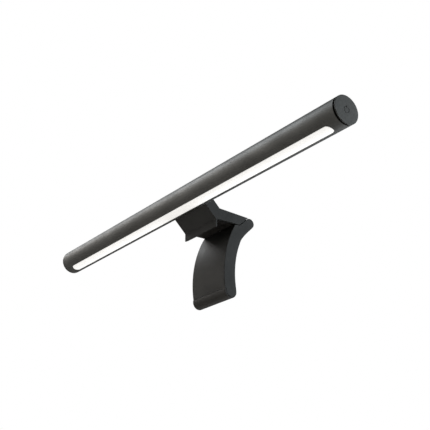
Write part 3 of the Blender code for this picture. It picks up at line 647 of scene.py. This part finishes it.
def symbol_tool(face_x, depth):
    """A broken ring with round ends and a short round-ended bar, as one tool for each stroke."""
    ring, half_stroke, upright = 2.6 * MM, 0.27 * MM, math.pi / 2
    opening = math.radians(34.0)
    start, end = upright + opening, upright + 2.0 * math.pi - opening
    centre = (0.0, 0.0)
    outline = arc(centre, ring + half_stroke, start, end, 48)
    tip = (ring * math.cos(end), ring * math.sin(end))
    outline += arc(tip, half_stroke, end, end + math.pi, 8)[1:-1]
    outline += arc(centre, ring - half_stroke, end, start, 48)
    tip = (ring * math.cos(start), ring * math.sin(start))
    outline += arc(tip, half_stroke, start + math.pi, start + 2.0 * math.pi, 8)[1:-1]
    low, high = 1.1 * MM, ring + 0.85 * MM
    bar = arc((0.0, high), half_stroke, 0.0, math.pi, 8)
    bar += arc((0.0, low), half_stroke, math.pi, 2.0 * math.pi, 8)
    return [prism(f"symbol_{number}", shape, depth, face_x) for number, shape in enumerate((outline, bar))]


def fine_button():
    """The pressed disc at the right end, with its skirt, its stem and the cut symbol."""
    face, skirt = BAR_HALF_LENGTH, 9.8 * MM - GAP
    back, rim_back, edge = face - 1.6 * MM, face - BUTTON_RIM, 0.2 * MM
    stem_end, skirt_end = face - 6.2 * MM, face - 5.2 * MM
    profile = [
        (face, 0.0),
        (stem_end, 0.0),
        (stem_end, 1.8 * MM),
        (back, 1.8 * MM),
        (back, skirt - 1.2 * MM),
        (skirt_end, skirt - 1.2 * MM),
        (skirt_end, skirt),
        (rim_back, skirt),
        (rim_back, TUBE_RADIUS - 0.1 * MM),
        (rim_back + 0.1 * MM, TUBE_RADIUS),
    ]
    profile += fillet(face, TUBE_RADIUS, edge, -1.0)
    profile.append((face, TUBE_RADIUS - 2.0 * edge))
    button = turned("button_disc", profile)
    for tool in symbol_tool(face, 0.25 * MM):
        boolean(button, tool)
    button = finish_mesh(button)
    button.data.transform(Matrix.Translation(tube_axis))
    return button


def slab_point(across_distance, across):
    """A point (y, z) of the inclined slab: along it from the tube axis, and up across it."""
    cos, sin = math.cos(SLAB_ANGLE), math.sin(SLAB_ANGLE)
    return (
        TUBE_CENTRE[0] + across_distance * cos + across * sin,
        TUBE_CENTRE[1] - across_distance * sin + across * cos,
    )


def slab_face_angle(across, radius):
    """Where an arc about the tube meets a slab face at that height (radians from +Y)."""
    return math.asin(across / radius) - SLAB_ANGLE


def slab_sum(across):
    """y + z of every point on a slab face at that height."""
    return TUBE_CENTRE[0] + TUBE_CENTRE[1] + across / math.sin(SLAB_ANGLE)


def clamp_outline():
    """The side outline of the seat, slab, top plate and front lip."""
    low = slab_face_angle(SLAB_LOWER, SEAT_RADIUS)
    high = slab_face_angle(SLAB_UPPER, SEAT_RADIUS)
    outline = arc(TUBE_CENTRE, SEAT_RADIUS, low, high, 72)
    outline += [PLATE_FRONT_TOP, PLATE_REAR_TOP, (PLATE_REAR_TOP[0], HINGE_CENTRE[1]), PLATE_REAR_BOTTOM]
    outline += [(LIP_BACK, PLATE_REAR_BOTTOM[1]), (LIP_BACK, LIP_BOTTOM), (LIP_FRONT, LIP_BOTTOM)]
    outline.append((LIP_FRONT, slab_sum(SLAB_LOWER) - LIP_FRONT))
    return outline


def plate_rear_tool():
    """Cuts the plate's rear end back so that the knuckle turns clear of it."""
    radius = KNUCKLE_RADIUS + KNUCKLE_GAP
    foot = PLATE_REAR_BOTTOM
    touch = tangent_angle(foot, HINGE_CENTRE, radius)
    slope, reach = touch - math.pi / 2, 2.0 * MM
    below = (foot[0] - reach * math.cos(slope), foot[1] - reach * math.sin(slope))
    outline = [below] + arc(HINGE_CENTRE, radius, touch, 0.0, 72)
    outline.append((HINGE_CENTRE[0] + radius, below[1]))
    return prism("plate_rear_tool", outline, CLAMP_HALF_WIDTH + MM)


def clamp_hollow_tool():
    """The space inside the slab and the plate, for the bracket."""
    roof, floor = PLATE_FRONT_TOP[1] - SLAB_WALL, PLATE_REAR_BOTTOM[1] - 1.0 * MM
    front, rear = COVER_FRONT - GAP, COVER_REAR + GAP
    outline = [
        slab_point(19.0 * MM, SLAB_LOWER + SLAB_WALL),
        slab_point(16.0 * MM, SLAB_UPPER - SLAB_WALL),
        (slab_sum(SLAB_UPPER - SLAB_WALL) - roof, roof),
        (19.5 * MM, PLATE_REAR_TOP[1] - SLAB_WALL),
        (rear, COVER_TOP + GAP),
        (rear, floor),
        (front, floor),
        (front, slab_sum(SLAB_LOWER + SLAB_WALL) - front),
    ]
    return prism("hollow_tool", outline, CHEEK_INNER + 0.9 * MM)


def saddle_pocket_tool():
    """The pocket in the seat where the saddle turns."""
    floor, far, near = SLAB_LOWER + SLAB_WALL, SADDLE_RADIUS + GAP, TUBE_RADIUS - 1.5 * MM
    beyond = math.radians(60.0)
    outline = arc(TUBE_CENTRE, far, slab_face_angle(floor, far), beyond, 72)
    outline += arc(TUBE_CENTRE, near, beyond, slab_face_angle(floor, near), 48)
    return prism("pocket_tool", outline, CHEEK_INNER)


def pin_groove_tool():
    """The curved slots in the cheeks that the saddle's pins run in."""
    half = SADDLE_PIN + GAP
    reach = TILT_HALF_RANGE + half / SADDLE_PIN_RADIUS
    start, end = SADDLE_PIN_ANGLE - reach, SADDLE_PIN_ANGLE + reach
    outline = arc(TUBE_CENTRE, SADDLE_PIN_RADIUS + half, start, end, 24)
    outline += arc(TUBE_CENTRE, SADDLE_PIN_RADIUS - half, end, start, 24)
    return prism("groove_tool", outline, CHEEK_INNER + 1.5 * MM)


def fine_clamp():
    """The clamp's one-piece shell with the hinge barrel on its rear end."""
    shell = prism("clamp_shell", clamp_outline(), CLAMP_HALF_WIDTH)
    bevel(shell)
    boolean(shell, plate_rear_tool())
    barrel = arc(HINGE_CENTRE, KNUCKLE_RADIUS, math.radians(-188), math.radians(90), 96)
    barrel += [(PLATE_REAR_TOP[0] - 2.0 * MM, 10.1 * MM), (19.6 * MM, 5.6 * MM)]
    barrel_join = prism("barrel_tool", barrel, BARREL_HALF_WIDTH)
    boolean(shell, barrel_join, "UNION")
    boolean(shell, clamp_hollow_tool())
    boolean(shell, saddle_pocket_tool())
    boolean(shell, pin_groove_tool())
    wide, narrow, end = 3.3 * MM, PIN_RADIUS + GAP, BARREL_HALF_WIDTH + MM
    bore = [(-end, 0.0), (-end, wide), (-3.0 * MM, wide), (-3.0 * MM, narrow)]
    bore += [(3.0 * MM, narrow), (3.0 * MM, wide), (end, wide), (end, 0.0)]
    boolean(shell, turned("bore_tool", bore, 96, Matrix.Translation(hinge_axis)))
    return finish_mesh(shell)


def fine_saddle():
    """The carriage that holds the magnets, with its magnet pockets and pin holes."""
    tip = slab_face_angle(SLAB_UPPER, SEAT_RADIUS)
    shoulder = slab_face_angle(SLAB_UPPER, SADDLE_RADIUS)
    outline = arc(TUBE_CENTRE, SEAT_RADIUS, SADDLE_LOW, tip, 48)
    outline += arc(TUBE_CENTRE, SADDLE_RADIUS, shoulder, SADDLE_LOW, 32)
    saddle = prism("saddle_shell", outline, CHEEK_INNER - GAP)
    bevel(saddle, 0.15 * MM, 2)
    for number in (1, 2, 3):
        low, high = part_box(f"saddle_magnet_{number}")
        middle = [(a + b) / 2 for a, b in zip(low, high)]
        turn = math.radians(-7.0)
        half_length, half_height = (high[0] - low[0]) / 2 + GAP, 2.0 * MM + GAP
        tool = block(
            f"magnet_tool_{number}",
            (middle[0] - half_length, 14.0 * MM - GAP, -half_height),
            (middle[0] + half_length, SADDLE_RADIUS + 2.0 * MM, half_height),
        )
        tool.data.transform(Matrix.Translation(tube_axis) @ Matrix.Rotation(turn, 4, "X"))
        boolean(saddle, tool)
    hole = SADDLE_PIN + GAP
    y = tube_axis.y + SADDLE_PIN_RADIUS * math.cos(SADDLE_PIN_ANGLE)
    z = tube_axis.z + SADDLE_PIN_RADIUS * math.sin(SADDLE_PIN_ANGLE)
    for side in (-1, 1):
        place = along((side * 20.0 * MM, y, z), (side, 0, 0))
        profile = [(0.0, 0.0), (0.0, hole), (5.0 * MM, hole), (5.0 * MM, 0.0)]
        boolean(saddle, turned(f"pin_tool_{side}", profile, 32, place))
    return finish_mesh(saddle)


def cross_recess(name, place, head_radius, depth):
    """Two crossed blades that cut a cross recess into a screw head."""
    tools = []
    for number, (across, up) in enumerate(((0.62, 0.16), (0.16, 0.62))):
        half_y, half_z = across * head_radius, up * head_radius
        blade = block(f"{name}_blade_{number}", (-0.3 * MM, -half_y, -half_z), (depth, half_y, half_z))
        blade.data.transform(place)
        tools.append(blade)
    return tools


def fine_screw(name, start, direction, head_at, seat_at, tail_at, head_radius, shank_radius):
    """A pan-head screw with a cross recess and a threaded-looking shank of fine ridges."""
    edge = 0.12 * MM
    profile = [(head_at, 0.0), (head_at, head_radius - 2.0 * edge)]
    profile += reversed(fillet(head_at, head_radius, edge, 1.0, 3))
    profile += [(seat_at, head_radius), (seat_at, shank_radius)]
    pitch = 0.5 * MM
    ridges = int((tail_at - seat_at - pitch) / pitch)
    for n in range(1, ridges + 1):
        x = seat_at + n * pitch
        profile += [(x - 0.3 * pitch, shank_radius - 0.12 * MM), (x, shank_radius)]
    profile += [(tail_at - 0.2 * MM, shank_radius - 0.2 * MM), (tail_at, shank_radius * 0.5), (tail_at, 0.0)]
    place = along(start, direction)
    screw = turned(name, profile, 32, place)
    for tool in cross_recess(name, place @ Matrix.Translation((head_at, 0.0, 0.0)), head_radius, 0.35 * MM):
        boolean(screw, tool)
    return finish_mesh(screw)


def cover_screw_places():
    """Start and direction of each screw of the underside cover."""
    across = (-COVER_SCREW_X, 0.0, COVER_SCREW_X)
    return [((x, COVER_SCREW_Y, PLATE_REAR_BOTTOM[1]), (0, 0, 1)) for x in across]


def arm_screw_places():
    """Start and direction of each screw of the rear cover, from the arc's centre outward."""
    places, inset = [], math.radians(3.2)
    for angle in (ARM_CAVITY[0] + inset, ARM_CAVITY[1] - inset):
        for x in (-ARM_SCREW_X, ARM_SCREW_X):
            places.append(((x, *ARM_ARC_CENTRE), (0.0, -math.cos(angle), math.sin(angle))))
    return places


def hole_tool(name, start, direction, steps):
    """A stepped round hole, from (distance, radius) steps along a direction."""
    profile = [(steps[0][0], 0.0), *steps, (steps[-1][0], 0.0)]
    return turned(name, profile, 48, along(start, direction))


def fine_underside_cover():
    """The plate that closes the clamp below, with its pad recess and screw holes."""
    bottom, half = PLATE_REAR_BOTTOM[1], CHEEK_INNER + 0.6 * MM
    cover = block("underside_plate", (-half, COVER_FRONT, bottom), (half, COVER_REAR, COVER_TOP))
    bevel(cover, 0.2 * MM, 2)
    low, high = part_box("top_pad")
    recess_low = (low[0] - GAP, low[1] - GAP, bottom - MM)
    boolean(cover, block("recess_tool", recess_low, (high[0] + GAP, high[1] + GAP, high[2] + GAP)))
    head, shank = 1.8 * MM, 1.2 * MM
    for number, (start, direction) in enumerate(cover_screw_places()):
        steps = [(-MM, head), (MM, head), (MM, shank), (3.0 * MM, shank)]
        boolean(cover, hole_tool(f"cover_hole_{number}", start, direction, steps))
    return finish_mesh(cover)


def ribbed_pad(name, node, along_axis):
    """A silicone pad with rounded edges and shallow ribs on its working face."""
    low, high = (Vector(corner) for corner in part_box(node))
    pad = block(name, low, high)
    bevel(pad, 0.25 * MM, 3)
    pitch, width, depth, margin = 1.6 * MM, 0.28 * MM, 0.2 * MM, 1.2 * MM
    across = 1 if along_axis == "top" else 2
    start, end = low[across] + margin, high[across] - margin
    count = int((end - start) / pitch)
    for n in range(count + 1):
        middle = start + (end - start) * n / count
        groove_low = Vector((low.x + margin, 0.0, 0.0))
        groove_high = Vector((high.x - margin, 0.0, 0.0))
        groove_low[across], groove_high[across] = middle - width, middle + width
        if along_axis == "top":
            groove_low.z, groove_high.z = low.z - MM, low.z + depth
        else:
            groove_low.y, groove_high.y = high.y - depth, high.y + MM
        boolean(pad, block(f"{name}_groove_{n}", groove_low, groove_high))
    return finish_mesh(pad)


# ---------------------------------------------------------------- arm


def arm_arc(radius, low, high, steps):
    """Points on an arc of the arm, from one height angle to another."""
    return arc(ARM_ARC_CENTRE, radius, math.pi - low, math.pi - high, steps)


def arm_angle(radius, z):
    """The height angle at which an arc of the arm reaches z."""
    return math.asin((z - ARM_ARC_CENTRE[1]) / radius)


def arm_sector(near_radius, far_radius, low, high, steps=64):
    """The outline between two arcs of the arm."""
    return arm_arc(far_radius, low, high, steps) + arm_arc(near_radius, high, low, steps)


def arm_outline():
    """The arm's side outline: knuckle, curved back, round tip and curved front."""
    top_front, top_rear = (10.05 * MM, 0.3 * MM), (15.7 * MM, 0.4 * MM)
    notch_angle = tangent_angle(top_rear, HINGE_CENTRE, KNUCKLE_RADIUS)
    front_low = arm_angle(ARM_FRONT_RADIUS, ARM_TIP_CENTRE[1] + 2.6 * MM)
    back_low = arm_angle(ARM_BACK_RADIUS, ARM_TIP_CENTRE[1] + 4.0 * MM)
    knuckle = arc(HINGE_CENTRE, KNUCKLE_RADIUS, notch_angle, math.radians(-42.0), 72)
    back = arm_arc(ARM_BACK_RADIUS, arm_angle(ARM_BACK_RADIUS, -15.0 * MM), back_low, 48)
    slope = bezier(knuckle[-1], (28.6 * MM, -1.8 * MM), (21.0 * MM, -8.2 * MM), back[0], 28)
    tip = arc(ARM_TIP_CENTRE, ARM_TIP_RADIUS, math.radians(12.0), FOOT_TOP_ANGLE, 80)
    front = arm_arc(ARM_FRONT_RADIUS, front_low, arm_angle(ARM_FRONT_RADIUS, top_front[1]), 72)
    return [top_front, top_rear] + knuckle + slope + back + tip + front[:-1]


def foot_outline(grow):
    """The outline of the foot's wrap round the tip, or of its pocket when it grows."""
    start = FOOT_TOP_ANGLE - grow / ARM_TIP_RADIUS
    end = FOOT_REAR_ANGLE + grow / ARM_TIP_RADIUS
    outer = ARM_TIP_RADIUS + (2.0 * MM if grow else 0.0)
    inner = ARM_TIP_RADIUS - FOOT_THICKNESS - grow
    return arc(ARM_TIP_CENTRE, outer, start, end, 48) + arc(ARM_TIP_CENTRE, inner, end, start, 48)


def fine_arm():
    """The arm's hollow shell, open at the back, with room for the hinge barrel and pin."""
    shell = prism("arm_shell", arm_outline(), CLAMP_HALF_WIDTH)
    bevel(shell)
    low, high = ARM_CAVITY
    inner_front = ARM_FRONT_RADIUS - ARM_WALL
    cavity = arm_sector(ARM_BACK_RADIUS - 6.0 * MM, inner_front, low, high)
    boolean(shell, prism("cavity_tool", cavity, ARM_HOLLOW_HALF_WIDTH))
    boolean(shell, prism("foot_tool", foot_outline(GAP), CLAMP_HALF_WIDTH + MM))
    clear, room = BARREL_HALF_WIDTH + GAP, KNUCKLE_RADIUS + GAP
    profile = [(-clear, 0.0), (-clear, room), (clear, room), (clear, 0.0)]
    boolean(shell, turned("barrel_room_tool", profile, 128, Matrix.Translation(hinge_axis)))
    boolean(shell, block("web_tool", (-clear, 15.0 * MM, 5.2 * MM), (clear, 28.0 * MM, 13.0 * MM)))
    hole, blind = PIN_RADIUS + 3 * GAP + 0.8 * MM, 23.8 * MM
    profile = [(-27.0 * MM, 0.0), (-27.0 * MM, hole), (blind, hole), (blind, 0.0)]
    boolean(shell, turned("pin_bore_tool", profile, 96, Matrix.Translation(hinge_axis)))
    return finish_mesh(shell)


def fine_rear_cover():
    """The curved plate that closes the arm's back."""
    low, high = ARM_CAVITY
    trim = GAP / ARM_BACK_RADIUS
    outline = arm_sector(ARM_BACK_RADIUS, ARM_BACK_RADIUS + ARM_COVER_THICKNESS, low + trim, high - trim)
    cover = prism("arm_back_plate", outline, ARM_HOLLOW_HALF_WIDTH - GAP)
    bevel(cover, 0.2 * MM, 2)
    seat, head, shank = ARM_SCREW_SEAT + GAP, 2.0 * MM, 1.4 * MM
    steps = [(ARM_BACK_RADIUS - 3.0 * MM, head), (seat, head), (seat, shank), (seat + 3.0 * MM, shank)]
    for number, (start, direction) in enumerate(arm_screw_places()):
        boolean(cover, hole_tool(f"back_hole_{number}", start, direction, steps))
    return finish_mesh(cover)


def fine_foot():
    """The silicone wrap on the arm's tip."""
    foot = prism("foot_pad", foot_outline(0.0), CLAMP_HALF_WIDTH - 0.05 * MM)
    bevel(foot, 0.25 * MM, 3)
    return finish_mesh(foot)


def fine_pin():
    """The hinge pin with rounded ends."""
    end, far, edge = -25.2 * MM, 23.5 * MM, 0.2 * MM
    profile = [(end, 0.0), (end, PIN_RADIUS - 2 * edge)]
    profile += reversed(fillet(end, PIN_RADIUS, edge, 1.0, 3))
    profile += [(far - edge, PIN_RADIUS), (far, PIN_RADIUS - edge), (far, 0.0)]
    return finish_mesh(turned("pin_rod", profile, 64, Matrix.Translation(hinge_axis)))


# ---------------------------------------------------------------- pieces in place


dress(finish_mesh(fine_tube()), "lamp", "tube_anodised", "tube_housing")
dress(finish_mesh(fine_diffuser()), "lamp", "window_white", "diffuser")
dress(fine_left_cap(), "lamp", "tube_anodised", "left_end_cap")
dress(fine_button(), "button", "tube_anodised", "power_button", look=button_look)
dress(fine_saddle(), "saddle", "cover_black", "saddle")
dress(fine_clamp(), "clamp", "shell_dark_grey", "clamp_housing")
dress(fine_underside_cover(), "clamp", "cover_black", "underside_cover")
dress(ribbed_pad("top_cushion", "top_pad", "top"), "clamp", "pad_silicone", "top_pad")
dress(ribbed_pad("lip_cushion", "lip_pad", "lip"), "clamp", "pad_silicone", "lip_pad")
dress(fine_arm(), "arm", "shell_dark_grey", "arm_housing")
dress(fine_rear_cover(), "arm", "cover_black", "arm_rear_cover")
dress(fine_foot(), "arm", "pad_silicone", "arm_foot")
dress(fine_pin(), "arm", "steel", "hinge_pin")
for number, (start, direction) in enumerate(cover_screw_places(), 1):
    made = fine_screw(f"cover_bolt_{number}", start, direction, *COVER_SCREW)
    dress(made, "clamp", "steel", f"cover_screw_{number}")
for number, (start, direction) in enumerate(arm_screw_places(), 1):
    made = fine_screw(f"arm_bolt_{number}", start, direction, *ARM_SCREW)
    dress(made, "arm", "steel", f"arm_screw_{number}")


# ---------------------------------------------------------------- camera, floor and light


def add_camera():
    data = bpy.data.cameras.new("camera")
    data.sensor_width = 36.0
    data.lens = CAMERA_LENS
    camera = bpy.data.objects.new("camera", data)
    back = CAMERA_RIGHT.cross(CAMERA_UP)
    turn = Matrix((CAMERA_RIGHT, CAMERA_UP, back)).transposed().to_4x4()
    camera.matrix_world = Matrix.Translation(CAMERA_PLACE) @ turn
    bpy.context.scene.collection.objects.link(camera)
    bpy.context.scene.camera = camera


def studio_world(strength):
    """A world that looks white to the camera, but lights the object only with this strength."""
    world = bpy.data.worlds.new("studio")
    world.use_nodes = True
    tree = world.node_tree
    fill = tree.nodes["Background"]
    fill.inputs["Color"].default_value = (*WHITE, 1.0)
    fill.inputs["Strength"].default_value = strength
    seen = tree.nodes.new("ShaderNodeBackground")
    seen.inputs["Color"].default_value = (*WHITE, 1.0)
    path = tree.nodes.new("ShaderNodeLightPath")
    mix = tree.nodes.new("ShaderNodeMixShader")
    tree.links.new(path.outputs["Is Camera Ray"], mix.inputs[0])
    tree.links.new(fill.outputs[0], mix.inputs[1])
    tree.links.new(seen.outputs[0], mix.inputs[2])
    tree.links.new(mix.outputs[0], tree.nodes["World Output"].inputs["Surface"])
    bpy.context.scene.world = world


def floor(height):
    """A wide pale floor. It looks evenly lit to the camera, but throws only its own faint bounce."""
    mesh = bpy.data.meshes.new("floor")
    bm = bmesh.new()
    bmesh.ops.create_grid(bm, x_segments=1, y_segments=1, size=FLOOR_HALF_SIZE)
    bm.to_mesh(mesh)
    bm.free()
    made = bpy.data.objects.new("floor", mesh)
    made.location = (0.0, 0.0, height)
    g = Graph("floor_pale")
    g.feed("Base Color", g.ramp(g.noise(4.0, 3.0), (0.71, 0.675, 0.63), (0.74, 0.705, 0.66)))
    g.fix("Roughness", 0.9)
    g.fix("Specular IOR Level", 0.1)
    g.fix("Emission Color", (0.97, 0.985, 1.0, 1.0))
    path = g.tree.nodes.new("ShaderNodeLightPath")
    g.feed("Emission Strength", g.math("MULTIPLY", path.outputs["Is Camera Ray"], FLOOR_SEEN_GLOW))
    mesh.materials.append(g.material)
    bpy.context.scene.collection.objects.link(made)


def softbox(name, height, turn, size, power, colour=WHITE, distance=2.0, beam=180.0):
    """A soft light that faces the clamp, placed by its height angle and its turn from the front."""
    up, around = math.radians(height), math.radians(turn)
    away = Vector((math.sin(around) * math.cos(up), -math.cos(around) * math.cos(up), math.sin(up)))
    data = bpy.data.lights.new(name, "AREA")
    data.shape = "RECTANGLE"
    data.size, data.size_y = size
    data.energy = power
    data.color = colour
    data.spread = math.radians(beam)
    made = bpy.data.objects.new(name, data)
    made.location = LIGHT_TARGET + distance * away
    aim = LIGHT_TARGET - made.location
    made.rotation_euler = aim.to_track_quat("-Z", "Y").to_euler()
    made.visible_camera = False
    bpy.context.scene.collection.objects.link(made)


add_camera()
floor(FLOOR_HEIGHT)
studio_world(WORLD_STRENGTH)
softbox("key_low", 35.0, 285.0, FAR_BOX, 46.0, distance=FAR_DISTANCE)
softbox("key_high", 48.0, 302.0, FAR_BOX, 52.0, (0.93, 1.0, 1.04), FAR_DISTANCE)
softbox("key_front", 26.0, 290.0, FAR_BOX, 16.0, (1.08, 0.98, 0.88), FAR_DISTANCE)
softbox("fill_front", 10.0, 315.0, LARGE_BOX, 6.6, (1.0, 0.97, 0.9))
softbox("side_back", 20.0, 150.0, SMALL_BOX, 16.5, (0.92, 0.99, 1.02))
softbox("low_back", -37.0, 180.0, (0.4, 0.4), 0.6, (0.95, 1.0, 1.06), 0.75, 70.0)
softbox("back_left", 35.0, 192.0, LARGE_BOX, 4.0)
bpy.context.scene.view_settings.view_transform = "Standard"
